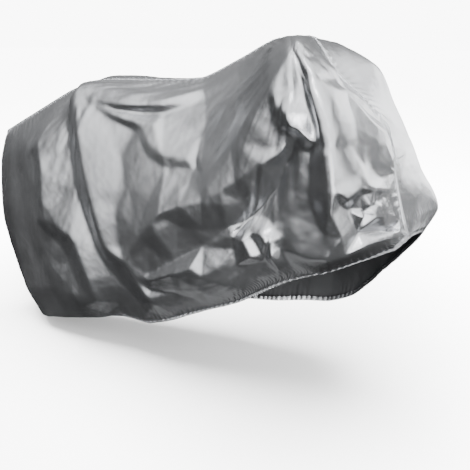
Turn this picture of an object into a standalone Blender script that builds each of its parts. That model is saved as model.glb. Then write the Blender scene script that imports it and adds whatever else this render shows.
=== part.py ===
"""Fitted bicycle cover of thin coated cloth, in the shape in which it hangs over its load.

Two side panels are sewn along one seam that climbs the tail, runs over the top and comes down
the front. Each panel is a draped sheet of even thickness. A panel's form is set by a short table
of sections (lines of cloth from the seam down to the hem) and a short table of folds.

Metres, +Z up, +X to the front, +Y to the left. The origin is under the middle of the cover, level
with the lowest point of its hem.
"""

import math

import bpy
import bmesh
import numpy as np
from mathutils import Vector, geometry, kdtree

# ---------------------------------------------------------------- sizes
CLOTH_THICKNESS = 0.002      # coated cloth with its turned seams
SEAM_GAP = 0.0004            # between the two panels, all along the seam
SEAM_SPRING = 0.004          # how far each panel springs away sideways beside the seam
COLUMNS = 168                # grid cells of one panel from tail to front
ROWS = 84                    # grid cells of one panel from seam to hem
RIGHT_FACES = 3100           # triangles left in one layer of the right panel
LEFT_FACES = 2000            # triangles left in one layer of the left panel
ROUND_ALONG = 0.5            # 0 straight, 1 fully curved between two sections
ROUND_DOWN = 0.75            # the same down a section
FOLD_SOFTENING = 1           # how often the creases are smoothed

# How far down a section each of its five points lies, as a share of the cloth.
LEVELS = (0.0, 0.16, 0.50, 0.86, 1.0)

# Folds fade out towards the seams and the hem over these shares of the panel.
CALM_TOP = (0.06, 0.08)      # start, width
CALM_HEM = 0.03
CALM_ENDS = 0.02

# The seam over the top: one row for each section, from the tail to the front.
#            section        x       y       z
SEAM_TOP = (
    ("tail",       (-0.660, 0.030, 0.685)),
    ("tail side",  (-0.600, 0.025, 0.712)),
    ("tail back",  (-0.505, 0.020, 0.755)),
    ("rise start", (-0.330, 0.010, 0.833)),
    ("rear peak",  (-0.225, 0.000, 0.865)),
    ("plateau",    (-0.160, 0.000, 0.873)),
    ("middle",     (-0.030, 0.000, 0.877)),
    ("dip",        (0.140, 0.000, 0.886)),
    ("rise",       (0.246, 0.000, 0.934)),
    ("peak back",  (0.340, 0.000, 0.980)),
    ("front peak", (0.432, 0.000, 0.985)),
    ("peak front", (0.500, -0.010, 0.903)),
    ("front",      (0.569, -0.020, 0.853)),
    ("nose",       (0.605, -0.030, 0.822)),
    ("front seam", (0.634, -0.040, 0.794)),
)

# The two seams that both panels share below the top.
#              shoulder                belly                  roll                   hem
TAIL_SEAM = ((-0.725, 0.030, 0.570), (-0.778, 0.030, 0.330), (-0.745, 0.030, 0.120), (-0.700, 0.020, 0.012))
FRONT_SEAM = ((0.650, -0.050, 0.745), (0.664, -0.060, 0.680), (0.694, -0.070, 0.583), (0.712, -0.060, 0.536))

# Sections of the right panel, between the tail seam and the front seam.
#    shoulder                belly                   roll                    hem
RIGHT_SECTIONS = (
    ((-0.620, -0.008, 0.615), (-0.640, -0.040, 0.380), (-0.610, -0.070, 0.110), (-0.545, -0.072, 0.004)),
    ((-0.445, -0.060, 0.665), (-0.440, -0.095, 0.480), (-0.455, -0.110, 0.170), (-0.440, -0.095, 0.035)),
    ((-0.285, -0.080, 0.740), (-0.240, -0.135, 0.480), (-0.240, -0.145, 0.200), (-0.220, -0.115, 0.105)),
    ((-0.222, -0.080, 0.842), (-0.150, -0.150, 0.560), (-0.130, -0.160, 0.270), (-0.110, -0.125, 0.145)),
    ((-0.120, -0.080, 0.848), (-0.020, -0.175, 0.600), (-0.010, -0.175, 0.270), (-0.005, -0.135, 0.150)),
    ((0.035, -0.100, 0.826), (0.100, -0.200, 0.610), (0.100, -0.195, 0.320), (0.100, -0.150, 0.200)),
    ((0.205, -0.120, 0.830), (0.248, -0.225, 0.620), (0.235, -0.205, 0.370), (0.223, -0.160, 0.273)),
    ((0.313, -0.160, 0.862), (0.352, -0.250, 0.640), (0.340, -0.220, 0.440), (0.332, -0.170, 0.335)),
    ((0.455, -0.250, 0.968), (0.455, -0.262, 0.760), (0.445, -0.240, 0.530), (0.458, -0.170, 0.421)),
    ((0.478, -0.255, 0.966), (0.552, -0.268, 0.750), (0.552, -0.235, 0.535), (0.551, -0.160, 0.461)),
    ((0.519, -0.160, 0.893), (0.607, -0.215, 0.710), (0.622, -0.205, 0.560), (0.629, -0.145, 0.500)),
    ((0.584, -0.110, 0.845), (0.636, -0.140, 0.690), (0.662, -0.145, 0.577), (0.681, -0.105, 0.519)),
    ((0.620, -0.080, 0.790), (0.651, -0.095, 0.688), (0.680, -0.105, 0.580), (0.700, -0.080, 0.527)),
)

# Sections of the left panel, which hangs lower towards the front.
#    shoulder                belly                   roll                    hem
LEFT_SECTIONS = (
    ((-0.620, 0.060, 0.610), (-0.640, 0.085, 0.380), (-0.620, 0.095, 0.120), (-0.570, 0.080, 0.030)),
    ((-0.460, 0.080, 0.675), (-0.450, 0.105, 0.480), (-0.455, 0.120, 0.170), (-0.440, 0.105, 0.045)),
    ((-0.280, 0.085, 0.765), (-0.250, 0.130, 0.480), (-0.270, 0.145, 0.200), (-0.270, 0.120, 0.060)),
    ((-0.215, 0.085, 0.855), (-0.190, 0.150, 0.500), (-0.190, 0.160, 0.200), (-0.190, 0.130, 0.070)),
    ((-0.115, 0.080, 0.862), (-0.070, 0.170, 0.500), (-0.080, 0.175, 0.200), (-0.080, 0.140, 0.080)),
    ((0.020, 0.090, 0.860), (0.060, 0.190, 0.500), (0.050, 0.190, 0.220), (0.050, 0.150, 0.100)),
    ((0.175, 0.110, 0.855), (0.210, 0.215, 0.500), (0.200, 0.205, 0.250), (0.200, 0.150, 0.130)),
    ((0.290, 0.150, 0.890), (0.310, 0.240, 0.520), (0.310, 0.220, 0.270), (0.320, 0.150, 0.150)),
    ((0.430, 0.240, 0.950), (0.410, 0.260, 0.560), (0.410, 0.240, 0.300), (0.420, 0.170, 0.165)),
    ((0.450, 0.245, 0.950), (0.500, 0.260, 0.560), (0.500, 0.235, 0.320), (0.500, 0.170, 0.180)),
    ((0.572, 0.150, 0.912), (0.590, 0.215, 0.600), (0.590, 0.190, 0.370), (0.580, 0.150, 0.235)),
    ((0.623, 0.130, 0.827), (0.665, 0.150, 0.610), (0.680, 0.140, 0.460), (0.665, 0.105, 0.365)),
    ((0.671, 0.130, 0.746), (0.722, 0.110, 0.660), (0.774, 0.060, 0.582), (0.745, 0.030, 0.520)),
)

# Fold lines in the side view. Each is a crest or a valley that runs through its points
# (x, z, height), where height is how far the cloth stands out of the form of the sections.
# Between the lines the cloth lies in flat facets, as stiff coated cloth does.
RIGHT_FOLDS = (
    ("tail corner", (
        (-0.345, 0.805, 0.003), (-0.375, 0.745, 0.009), (-0.405, 0.670, 0.016), (-0.385, 0.595, 0.017),
        (-0.390, 0.500, 0.017), (-0.385, 0.440, 0.016), (-0.310, 0.425, 0.016), (-0.260, 0.415, 0.016),
        (-0.225, 0.345, 0.015), (-0.205, 0.280, 0.013), (-0.190, 0.200, 0.009),
    )),
    ("tail undercut", (
        (-0.440, 0.625, 0.002), (-0.445, 0.520, 0.002), (-0.455, 0.410, 0.000), (-0.390, 0.375, -0.004),
        (-0.335, 0.360, -0.005), (-0.305, 0.305, -0.006), (-0.275, 0.230, -0.005),
    )),
    ("strip foot", (
        (-0.330, 0.805, -0.001), (-0.280, 0.730, -0.009), (-0.265, 0.645, -0.011),
        (-0.240, 0.540, -0.011), (-0.200, 0.455, -0.011), (-0.160, 0.385, -0.009),
        (-0.115, 0.295, -0.006), (-0.105, 0.200, -0.003),
    )),
    ("strip edge", (
        (-0.230, 0.815, 0.007), (-0.195, 0.740, 0.014), (-0.185, 0.660, 0.016), (-0.155, 0.580, 0.018),
        (-0.125, 0.490, 0.018), (-0.105, 0.420, 0.016), (-0.075, 0.400, 0.013), (-0.035, 0.390, 0.010),
        (-0.010, 0.335, 0.007), (0.030, 0.280, 0.004),
    )),
    ("pocket", ((-0.125, 0.345, -0.008), (-0.090, 0.300, -0.012), (-0.035, 0.250, -0.010))),
    ("facet fall", (
        (-0.085, 0.755, -0.005), (-0.050, 0.675, -0.008), (-0.025, 0.605, -0.009),
        (-0.070, 0.545, -0.009), (-0.070, 0.465, -0.008), (-0.055, 0.415, 0.000),
    )),
    ("middle crest", (
        (0.030, 0.480, 0.008), (0.090, 0.535, 0.011), (0.115, 0.565, 0.013), (0.185, 0.600, 0.013),
        (0.255, 0.635, 0.012),
    )),
    ("top edge", (
        (-0.195, 0.830, 0.005), (-0.150, 0.825, 0.009), (-0.090, 0.815, 0.013), (0.000, 0.815, 0.015),
        (0.085, 0.820, 0.015), (0.130, 0.835, 0.012), (0.180, 0.865, 0.008), (0.235, 0.900, 0.004),
    )),
    ("under edge", (
        (-0.135, 0.810, 0.002), (-0.075, 0.805, -0.005), (0.000, 0.805, -0.009), (0.080, 0.805, -0.009),
        (0.175, 0.840, -0.008), (0.235, 0.870, -0.005),
    )),
    ("wedge foot", ((-0.165, 0.810, 0.003), (-0.090, 0.780, -0.005), (-0.005, 0.755, -0.011))),
    ("wedge ridge", (
        (-0.120, 0.805, 0.006), (-0.070, 0.790, 0.007), (-0.010, 0.780, 0.008), (0.065, 0.775, 0.005),
    )),
    ("cup rim", (
        (0.030, 0.765, 0.004), (0.065, 0.730, 0.010), (0.115, 0.710, 0.014), (0.195, 0.710, 0.011),
        (0.215, 0.715, 0.003),
    )),
    ("under cup", (
        (0.020, 0.745, -0.003), (0.055, 0.705, -0.006), (0.115, 0.685, -0.007), (0.195, 0.695, -0.006),
    )),
    ("star foot", ((0.130, 0.560, 0.004), (0.165, 0.540, -0.012), (0.235, 0.535, -0.018))),
    ("long fold foot", (
        (0.045, 0.360, -0.002), (0.145, 0.430, -0.004), (0.235, 0.495, -0.006), (0.325, 0.560, -0.012),
    )),
    ("long fold", (
        (0.010, 0.345, 0.005), (0.060, 0.355, 0.011), (0.140, 0.400, 0.019), (0.210, 0.440, 0.025),
        (0.245, 0.420, 0.018), (0.235, 0.370, 0.009),
    )),
    ("below fold", ((0.040, 0.305, -0.008), (0.125, 0.315, -0.010), (0.185, 0.315, -0.007))),
    ("hem swell", ((0.285, 0.455, 0.009), (0.300, 0.395, 0.007))),
    ("band foot", (
        (0.350, 0.935, -0.002), (0.280, 0.895, -0.008), (0.225, 0.830, -0.012), (0.205, 0.770, -0.012),
        (0.210, 0.700, -0.008),
    )),
    ("band crest", (
        (0.465, 0.950, 0.008), (0.460, 0.930, 0.013), (0.435, 0.890, 0.020), (0.390, 0.825, 0.024),
        (0.360, 0.775, 0.024), (0.315, 0.715, 0.019), (0.265, 0.655, 0.013),
    )),
    ("patch valley", ((0.425, 0.860, 0.009), (0.435, 0.820, -0.003), (0.430, 0.770, -0.006))),
    ("patch crest", ((0.445, 0.870, 0.012), (0.460, 0.855, 0.015), (0.475, 0.830, 0.020))),
    ("patch foot", (
        (0.445, 0.760, 0.012), (0.415, 0.740, 0.016), (0.370, 0.700, 0.019), (0.310, 0.660, 0.017),
        (0.270, 0.635, 0.012),
    )),
    ("deep valley", (
        (0.475, 0.805, 0.002), (0.455, 0.740, -0.030), (0.425, 0.670, -0.040), (0.395, 0.625, -0.038),
        (0.365, 0.590, -0.032), (0.335, 0.560, -0.020),
    )),
    ("valley far side", (
        (0.485, 0.770, -0.006), (0.490, 0.740, 0.000), (0.470, 0.685, -0.004), (0.445, 0.640, -0.006),
        (0.420, 0.610, -0.006), (0.385, 0.580, -0.006),
    )),
    ("facet foot", (
        (0.500, 0.720, -0.002), (0.500, 0.665, -0.014), (0.480, 0.625, -0.017), (0.455, 0.600, -0.012),
    )),
    ("bulge edge", (
        (0.435, 0.600, 0.006), (0.460, 0.585, 0.014), (0.490, 0.560, 0.020), (0.515, 0.535, 0.018),
        (0.560, 0.550, 0.014), (0.590, 0.550, 0.010),
    )),
    ("tip crest", (
        (0.475, 0.960, 0.006), (0.495, 0.925, 0.013), (0.510, 0.885, 0.021), (0.530, 0.840, 0.028),
        (0.545, 0.785, 0.030), (0.555, 0.710, 0.028), (0.560, 0.650, 0.022), (0.580, 0.595, 0.014),
    )),
    ("tip valley", (
        (0.485, 0.935, 0.003), (0.490, 0.900, -0.003), (0.505, 0.850, -0.007), (0.520, 0.810, -0.008),
    )),
    ("bright foot", (
        (0.480, 0.825, 0.019), (0.495, 0.815, 0.015), (0.510, 0.805, 0.008), (0.525, 0.800, 0.002),
    )),
    ("slot", (
        (0.525, 0.790, -0.008), (0.505, 0.750, -0.032), (0.510, 0.690, -0.036), (0.515, 0.645, -0.030),
        (0.550, 0.595, -0.010),
    )),
    ("slot wall", (
        (0.515, 0.790, 0.004), (0.505, 0.760, 0.004), (0.510, 0.695, 0.002), (0.505, 0.650, 0.000),
    )),
    ("front band foot", (
        (0.500, 0.915, 0.014), (0.525, 0.880, 0.016), (0.565, 0.845, 0.014), (0.620, 0.790, 0.008),
    )),
    ("front facet fold", ((0.545, 0.825, 0.025), (0.580, 0.800, 0.020), (0.625, 0.765, 0.010))),
    ("front hollow", (
        (0.545, 0.795, 0.024), (0.570, 0.770, 0.014), (0.605, 0.740, 0.006), (0.635, 0.705, 0.002),
    )),
    ("front lower crest", (
        (0.565, 0.700, 0.017), (0.585, 0.680, 0.009), (0.605, 0.705, 0.011), (0.630, 0.685, 0.008),
        (0.655, 0.665, 0.006),
    )),
    ("front crease", ((0.610, 0.685, 0.003), (0.620, 0.645, -0.012), (0.620, 0.590, -0.014))),
    ("hem crease 1", ((0.325, 0.545, -0.010), (0.330, 0.510, -0.011), (0.335, 0.470, -0.004))),
    ("hem light 1", ((0.355, 0.550, 0.005), (0.380, 0.505, 0.009))),
    ("hem crease 2", ((0.375, 0.565, -0.006), (0.385, 0.545, -0.009), (0.405, 0.510, -0.007))),
    ("hem light 2", ((0.405, 0.580, 0.006), (0.420, 0.555, 0.006))),
    ("hem crease 3", ((0.425, 0.555, -0.003), (0.405, 0.485, -0.011), (0.380, 0.425, -0.004))),
    ("under bulge", ((0.450, 0.525, -0.010), (0.465, 0.490, -0.006))),
)

LEFT_FOLDS = (
    ("tail corner", (
        (-0.380, 0.780, 0.004), (-0.430, 0.680, 0.012), (-0.440, 0.550, 0.014), (-0.420, 0.400, 0.013),
        (-0.360, 0.220, 0.008),
    )),
    ("tail hollow", ((-0.560, 0.580, -0.002), (-0.540, 0.400, -0.006), (-0.470, 0.200, -0.009))),
    ("strip foot", (
        (-0.310, 0.790, 0.000), (-0.290, 0.660, -0.009), (-0.270, 0.500, -0.010), (-0.220, 0.340, -0.008),
        (-0.180, 0.200, -0.003),
    )),
    ("strip edge", (
        (-0.235, 0.810, 0.006), (-0.215, 0.680, 0.014), (-0.185, 0.540, 0.016), (-0.150, 0.400, 0.013),
        (-0.100, 0.260, 0.007),
    )),
    ("facet fall", ((-0.090, 0.740, -0.005), (-0.050, 0.600, -0.009), (-0.060, 0.440, -0.006))),
    ("top edge", (
        (-0.190, 0.825, 0.005), (-0.090, 0.815, 0.012), (0.020, 0.815, 0.014), (0.130, 0.835, 0.010),
        (0.200, 0.860, 0.004),
    )),
    ("under edge", (
        (-0.130, 0.790, -0.003), (-0.010, 0.775, -0.008), (0.090, 0.785, -0.008), (0.190, 0.815, -0.004),
    )),
    ("upper swag", ((0.000, 0.700, 0.008), (0.090, 0.660, 0.013), (0.190, 0.680, 0.009))),
    ("under swag", ((0.000, 0.660, -0.004), (0.090, 0.620, -0.010), (0.190, 0.640, -0.006))),
    ("middle crest", ((0.010, 0.500, 0.008), (0.110, 0.530, 0.013), (0.210, 0.580, 0.013))),
    ("middle foot", ((0.060, 0.440, -0.006), (0.160, 0.460, -0.011), (0.270, 0.520, -0.013))),
    ("long fold", (
        (-0.020, 0.300, 0.006), (0.090, 0.340, 0.015), (0.200, 0.380, 0.019), (0.240, 0.300, 0.010),
    )),
    ("band foot", (
        (0.310, 0.890, -0.002), (0.250, 0.820, -0.008), (0.220, 0.740, -0.010), (0.210, 0.660, -0.007),
    )),
    ("band crest", (
        (0.415, 0.920, 0.008), (0.375, 0.840, 0.018), (0.330, 0.740, 0.020), (0.280, 0.640, 0.014),
    )),
    ("deep valley", (
        (0.440, 0.800, 0.000), (0.410, 0.700, -0.024), (0.375, 0.600, -0.030), (0.330, 0.500, -0.016),
    )),
    ("tip crest", (
        (0.435, 0.925, 0.006), (0.465, 0.830, 0.020), (0.485, 0.700, 0.024), (0.490, 0.550, 0.018),
        (0.500, 0.420, 0.010),
    )),
    ("slot", (
        (0.520, 0.780, -0.004), (0.535, 0.660, -0.022), (0.550, 0.520, -0.020), (0.560, 0.400, -0.008),
    )),
    ("front edge", (
        (0.560, 0.840, 0.006), (0.600, 0.720, 0.010), (0.620, 0.580, 0.010), (0.620, 0.460, 0.006),
    )),
    ("front hollow", ((0.640, 0.760, -0.003), (0.665, 0.660, -0.006), (0.675, 0.560, -0.004))),
    ("hem light", ((-0.330, 0.300, 0.006), (-0.320, 0.160, 0.006))),
    ("hem swell", ((0.360, 0.320, 0.008), (0.370, 0.240, 0.006))),
    ("hem crease", ((0.290, 0.350, -0.007), (0.290, 0.250, -0.005))),
    ("front crease", ((0.440, 0.380, -0.007), (0.430, 0.260, -0.004))),
)

# ---------------------------------------------------------------- finish
SILVER = (0.62, 0.63, 0.65, 1.0)
SILVER_ROUGHNESS = 0.34
SILVER_METALLIC = 0.85


def clear_scene():
    """Remove every object from the open scene."""
    for obj in list(bpy.data.objects):
        bpy.data.objects.remove(obj, do_unlink=True)


def silver_cloth(name):
    """The cloth's finish: a thin bright coating on a woven base."""
    material = bpy.data.materials.new(name)
    material.use_nodes = True
    shader = material.node_tree.nodes["Principled BSDF"]
    shader.inputs["Base Color"].default_value = SILVER
    shader.inputs["Roughness"].default_value = SILVER_ROUGHNESS
    shader.inputs["Metallic"].default_value = SILVER_METALLIC
    material.diffuse_color = SILVER
    return material


# ---------------------------------------------------------------- the drape
def smooth_step(t):
    """0 below 0, 1 above 1, and 3t^2 - 2t^3 between."""
    t = np.clip(t, 0.0, 1.0)
    return t * t * (3.0 - 2.0 * t)


def section_net(sections):
    """Control points as an array: sections x levels x 3, both shared seams included."""
    rows = [TAIL_SEAM, *sections, FRONT_SEAM]
    tops = [point for _, point in SEAM_TOP]
    return np.array([[top, *row] for top, row in zip(tops, rows)])


def section_stations(*nets):
    """Where each section lies along the panels, 0 at the tail and 1 at the front."""
    upper = sum(net[:, :3].mean(axis=1) for net in nets) / len(nets)
    steps = np.maximum(np.linalg.norm(np.diff(upper, axis=0), axis=1), 0.05)
    reach = np.concatenate(([0.0], np.cumsum(steps)))
    return reach / reach[-1]


def blend_weights(knots, t, roundness):
    """Weights of the knots at each t: part straight line, part cubic through the knots."""
    knots = np.asarray(knots)
    count = len(knots)
    unit = np.eye(count)
    cell = np.clip(np.searchsorted(knots, t, side="right") - 1, 0, count - 2)
    width = (knots[cell + 1] - knots[cell])[:, None]
    w = (t - knots[cell])[:, None] / width
    straight = (1.0 - w) * unit[cell] + w * unit[cell + 1]
    before = np.maximum(np.arange(count) - 1, 0)
    after = np.minimum(np.arange(count) + 1, count - 1)
    slope = (unit[after] - unit[before]) / (knots[after] - knots[before])[:, None]
    cubic = (
        (2 * w**3 - 3 * w**2 + 1) * unit[cell]
        + (w**3 - 2 * w**2 + w) * width * slope[cell]
        + (3 * w**2 - 2 * w**3) * unit[cell + 1]
        + (w**3 - w**2) * width * slope[cell + 1]
    )
    return (1.0 - roundness) * straight + roundness * cubic


def outward(points, hand):
    """Unit normals of a grid of points; hand is -1 for the right panel and +1 for the left."""
    along = np.gradient(points, axis=0)
    down = np.gradient(points, axis=1)
    normal = np.cross(along, down) * hand
    return normal / np.linalg.norm(normal, axis=-1, keepdims=True)


def facet_height(x, z, folds, outline):
    """Height of a creased sheet: triangles between the fold lines, with the outline at zero."""
    spots = [(px, pz) for px, pz in outline]
    heights = [0.0] * len(spots)
    lines = [(i, (i + 1) % len(spots)) for i in range(len(spots))]
    for _, points in folds:
        first = len(spots)
        spots += [(px, pz) for px, pz, _ in points]
        heights += [height for _, _, height in points]
        lines += [(i, i + 1) for i in range(first, len(spots) - 1)]
    flat = [Vector(spot) for spot in spots]
    verts, _, faces, sources, _, _ = geometry.delaunay_2d_cdt(flat, lines, [], 0, 1e-5)
    corner = np.array([tuple(vert) for vert in verts])
    known = np.array(spots)
    level = np.zeros(len(verts))
    for number, source in enumerate(sources):
        if source:
            level[number] = heights[source[0]]
        else:
            away = np.hypot(*(known - corner[number]).T)
            near = np.argsort(away)[:2]
            level[number] = np.average(np.array(heights)[near], weights=1.0 / (away[near] + 1e-6))
    total = np.zeros_like(x)
    for a, b, c in (face for face in faces if len(face) == 3):
        pa, pb, pc = corner[a], corner[b], corner[c]
        span = (pb[0] - pa[0]) * (pc[1] - pa[1]) - (pc[0] - pa[0]) * (pb[1] - pa[1])
        if abs(span) < 1e-12:
            continue
        px, pz = x - pa[0], z - pa[1]
        wb = (px * (pc[1] - pa[1]) - pz * (pc[0] - pa[0])) / span
        wc = (pz * (pb[0] - pa[0]) - px * (pb[1] - pa[1])) / span
        inside = (wb >= -1e-9) & (wc >= -1e-9) & (wb + wc <= 1.0 + 1e-9)
        value = level[a] + wb * (level[b] - level[a]) + wc * (level[c] - level[a])
        total[inside] = value[inside]
    return total


def soften(height, times):
    """Rounds creases: each value becomes a quarter, a half and a quarter of its neighbours."""
    for _ in range(times):
        padded = np.pad(height, 1, mode="edge")
        height = 0.25 * padded[:-2, 1:-1] + 0.5 * padded[1:-1, 1:-1] + 0.25 * padded[2:, 1:-1]
        padded = np.pad(height, 1, mode="edge")
        height = 0.25 * padded[1:-1, :-2] + 0.5 * padded[1:-1, 1:-1] + 0.25 * padded[1:-1, 2:]
    return height


def panel_outline(points, v):
    """Points round a panel in the side view, just inside its seams and hem."""
    top, low = np.searchsorted(v, (0.05, 0.985))
    steps = np.linspace(2, points.shape[0] - 3, 26).astype(int)
    sides = np.linspace(top, low, 9).astype(int)[1:-1]
    ring = np.concatenate(
        (points[steps, top], points[-3, sides], points[steps[::-1], low], points[2, sides[::-1]])
    )
    return ring[:, (0, 2)].tolist()


def drape(net, stations, folds, hand):
    """The panel's outer face as a grid of points, columns from tail to front."""
    u = np.linspace(0.0, 1.0, COLUMNS + 1)
    v = np.linspace(0.0, 1.0, ROWS + 1)
    across = blend_weights(stations, u, ROUND_ALONG)
    down = blend_weights(LEVELS, v, ROUND_DOWN)
    points = np.einsum("ui,vj,ijk->uvk", across, down, net)
    calm = (
        (smooth_step(u / CALM_ENDS) * smooth_step((1.0 - u) / CALM_ENDS))[:, None]
        * (smooth_step((v - CALM_TOP[0]) / CALM_TOP[1]) * smooth_step((1.0 - v) / CALM_HEM))[None, :]
    )
    height = facet_height(points[..., 0], points[..., 2], folds, panel_outline(points, v))
    height = soften(height, FOLD_SOFTENING) * calm
    points = points + outward(points, hand) * height[..., None]
    from_seam = np.minimum(np.minimum(u, 1.0 - u)[:, None] / 0.012, v[None, :] / 0.024)
    points[..., 1] += hand * (SEAM_GAP / 2.0 + SEAM_SPRING * smooth_step(from_seam))
    return points


# ---------------------------------------------------------------- from grid to solid
def seam_line(points):
    """The seam edge of a grid, from the tail's hem over the top to the front's hem."""
    return np.concatenate((points[0, ::-1], points[1:-1, 0], points[-1, :]))


def seam_directions(line):
    """For each seam point, the outward direction square to the seam in the side view."""
    run = np.gradient(line, axis=0)
    square = np.stack((-run[:, 2], np.zeros(len(run)), run[:, 0]), axis=1)
    return square / np.linalg.norm(square, axis=1, keepdims=True)


def grid_object(name, points, hand):
    """An open sheet as an object, its faces outward, its rim marked so that thinning keeps it."""
    columns, rows = points.shape[:2]
    index = np.arange(columns * rows).reshape(columns, rows)
    corners = np.stack((index[:-1, :-1], index[1:, :-1], index[1:, 1:], index[:-1, 1:]), axis=-1)
    faces = corners.reshape(-1, 4)
    if hand < 0:
        faces = faces[:, ::-1]
    mesh = bpy.data.meshes.new(name)
    mesh.from_pydata(points.reshape(-1, 3).tolist(), [], faces.tolist())
    obj = bpy.data.objects.new(name, mesh)
    bpy.context.collection.objects.link(obj)
    inner = obj.vertex_groups.new(name="inner cloth")
    inner.add(index[1:-1, 1:-1].ravel().tolist(), 1.0, "REPLACE")
    return obj


def thin_out(obj, faces_wanted):
    """Take away triangles where the sheet is flat. The rim keeps every point."""
    decimate = obj.modifiers.new("Fewer faces", "DECIMATE")
    decimate.vertex_group = "inner cloth"
    decimate.ratio = faces_wanted / (2.0 * COLUMNS * ROWS)
    decimate.use_collapse_triangulate = True
    graph = bpy.context.evaluated_depsgraph_get()
    thinned = bpy.data.meshes.new_from_object(obj.evaluated_get(graph))
    obj.modifiers.clear()
    old = obj.data
    obj.data = thinned
    bpy.data.meshes.remove(old)


def give_thickness(obj, line):
    """Close the sheet into a solid: an inner layer, and a rim round the edge.

    The inner layer lies one thickness inside the outer one. Along the seam it goes straight
    inward in the side view, so that the two panels' rims stay parallel.
    """
    tree = kdtree.KDTree(len(line))
    for number, point in enumerate(line):
        tree.insert(Vector(point), number)
    tree.balance()
    square = seam_directions(line)

    bm = bmesh.new()
    bm.from_mesh(obj.data)
    bmesh.ops.triangulate(bm, faces=bm.faces)
    bm.normal_update()
    outer = list(bm.verts)
    rim = [edge for edge in bm.edges if edge.is_boundary]
    skin = list(bm.faces)
    under = {}
    for vert in outer:
        direction = vert.normal.copy()
        if vert.is_boundary:
            _, number, distance = tree.find(vert.co)
            if distance < SEAM_GAP:
                direction = Vector(square[number])
        under[vert] = bm.verts.new(vert.co - direction * CLOTH_THICKNESS)
    for face in skin:
        bm.faces.new([under[vert] for vert in reversed(face.verts)])
    for edge in rim:
        face = edge.link_faces[0]
        first, second = edge.verts
        order = list(face.verts)
        if order[(order.index(first) + 1) % len(order)] is not second:
            first, second = second, first
        bm.faces.new((second, first, under[first]))
        bm.faces.new((second, under[first], under[second]))
    bm.normal_update()
    bm.to_mesh(obj.data)
    bm.free()


def side_panel(name, net, stations, folds, hand, faces_wanted):
    """One side panel as a closed draped sheet."""
    points = drape(net, stations, folds, hand)
    obj = grid_object(name, points, hand)
    thin_out(obj, faces_wanted)
    give_thickness(obj, seam_line(points))
    obj.vertex_groups.clear()
    obj.data.shade_smooth()
    obj.data.set_sharp_from_angle(angle=math.radians(28.0))
    obj.data.materials.clear()
    obj.data.materials.append(silver_cloth(name + "_cloth"))
    return obj


def main():
    clear_scene()
    right_net = section_net(RIGHT_SECTIONS)
    left_net = section_net(LEFT_SECTIONS)
    stations = section_stations(right_net, left_net)
    side_panel("right_panel", right_net, stations, RIGHT_FOLDS, -1.0, RIGHT_FACES)
    side_panel("left_panel", left_net, stations, LEFT_FOLDS, 1.0, LEFT_FACES)


main()
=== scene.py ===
"""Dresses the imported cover: thin silver cloth with its creases, puckered seam and gathered hem.

Each panel is worked out as one surface over two parameters, u from the tail to the front and v
from the seam down to the hem. A short table of sections gives its form and a table of folds its
creases. Metres, +Z up, +X to the front. Pixels of the main view are counted from its top left.
"""

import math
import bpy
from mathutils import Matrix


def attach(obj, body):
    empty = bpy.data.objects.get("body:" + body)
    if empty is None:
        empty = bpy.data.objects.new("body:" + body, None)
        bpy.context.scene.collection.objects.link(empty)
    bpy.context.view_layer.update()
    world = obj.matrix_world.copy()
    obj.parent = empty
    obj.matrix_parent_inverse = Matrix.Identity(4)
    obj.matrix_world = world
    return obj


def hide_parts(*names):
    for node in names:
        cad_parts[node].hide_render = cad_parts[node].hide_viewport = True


bl_info = {
    "name": "Silver bicycle cover",
    "version": (1, 0, 0),
    "blender": (4, 5, 0),
    "location": "View3D > Sidebar > Cover",
    "description": "Draped cloth panels, seam stitching and a studio stage for a fitted cover",
    "category": "Object",
}

import bpy
import numpy as np
from bpy.props import FloatProperty, FloatVectorProperty, IntProperty, PointerProperty
from bpy.types import Operator, Panel, PropertyGroup
from mathutils import Matrix, Vector, geometry

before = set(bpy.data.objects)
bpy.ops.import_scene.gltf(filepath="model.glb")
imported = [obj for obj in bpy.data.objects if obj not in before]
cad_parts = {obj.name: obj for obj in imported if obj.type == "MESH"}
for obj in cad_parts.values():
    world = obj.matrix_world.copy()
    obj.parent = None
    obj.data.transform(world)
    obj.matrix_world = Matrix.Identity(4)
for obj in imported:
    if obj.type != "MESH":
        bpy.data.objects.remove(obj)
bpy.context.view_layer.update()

# ---------------------------------------------------------------- the main view
# Pixels along a side of the picture, the lens and the sensor in millimetres, and the camera's place.
PICTURE = 470.0
LENS = 34.46809
SENSOR = 36.0
CAMERA_PLACE = (0.722178, -1.135699, 0.975171)
# The camera looks down by its pitch, and is turned by its heading from facing +Y.
CAMERA_PITCH = math.radians(23.36702)
CAMERA_HEADING = math.radians(23.35335)
CAMERA_TURN = Matrix.Rotation(CAMERA_HEADING, 3, "Z") @ Matrix.Rotation(math.pi / 2.0 - CAMERA_PITCH, 3, "X")

# ---------------------------------------------------------------- the form
# How far down a section each of its five points lies, as a share of the cloth.
LEVELS = (0.0, 0.16, 0.50, 0.86, 1.0)
# How round the form is along and down a panel: 0 is straight between the points, 1 a smooth curve.
ROUND_ALONG = 0.5
ROUND_DOWN = 0.75
# Where the folds fade in, as shares of the cloth: from and to below the seam, and how far from the
# hem and from both ends.
CALM_TOP = (0.05, 0.12)
CALM_HEM = 0.03
CALM_ENDS = 0.02
# Over how much of the cloth small creases fade in: from the ends, from the seam above, and for the
# gathers from the ends.
FINE_ENDS = 0.012
FINE_TOP = 0.05
GATHER_ENDS = 0.02
# Over how much of the cloth it springs away from the seam, along and down.
SPRING_ENDS = 0.012
SPRING_TOP = 0.024

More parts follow.
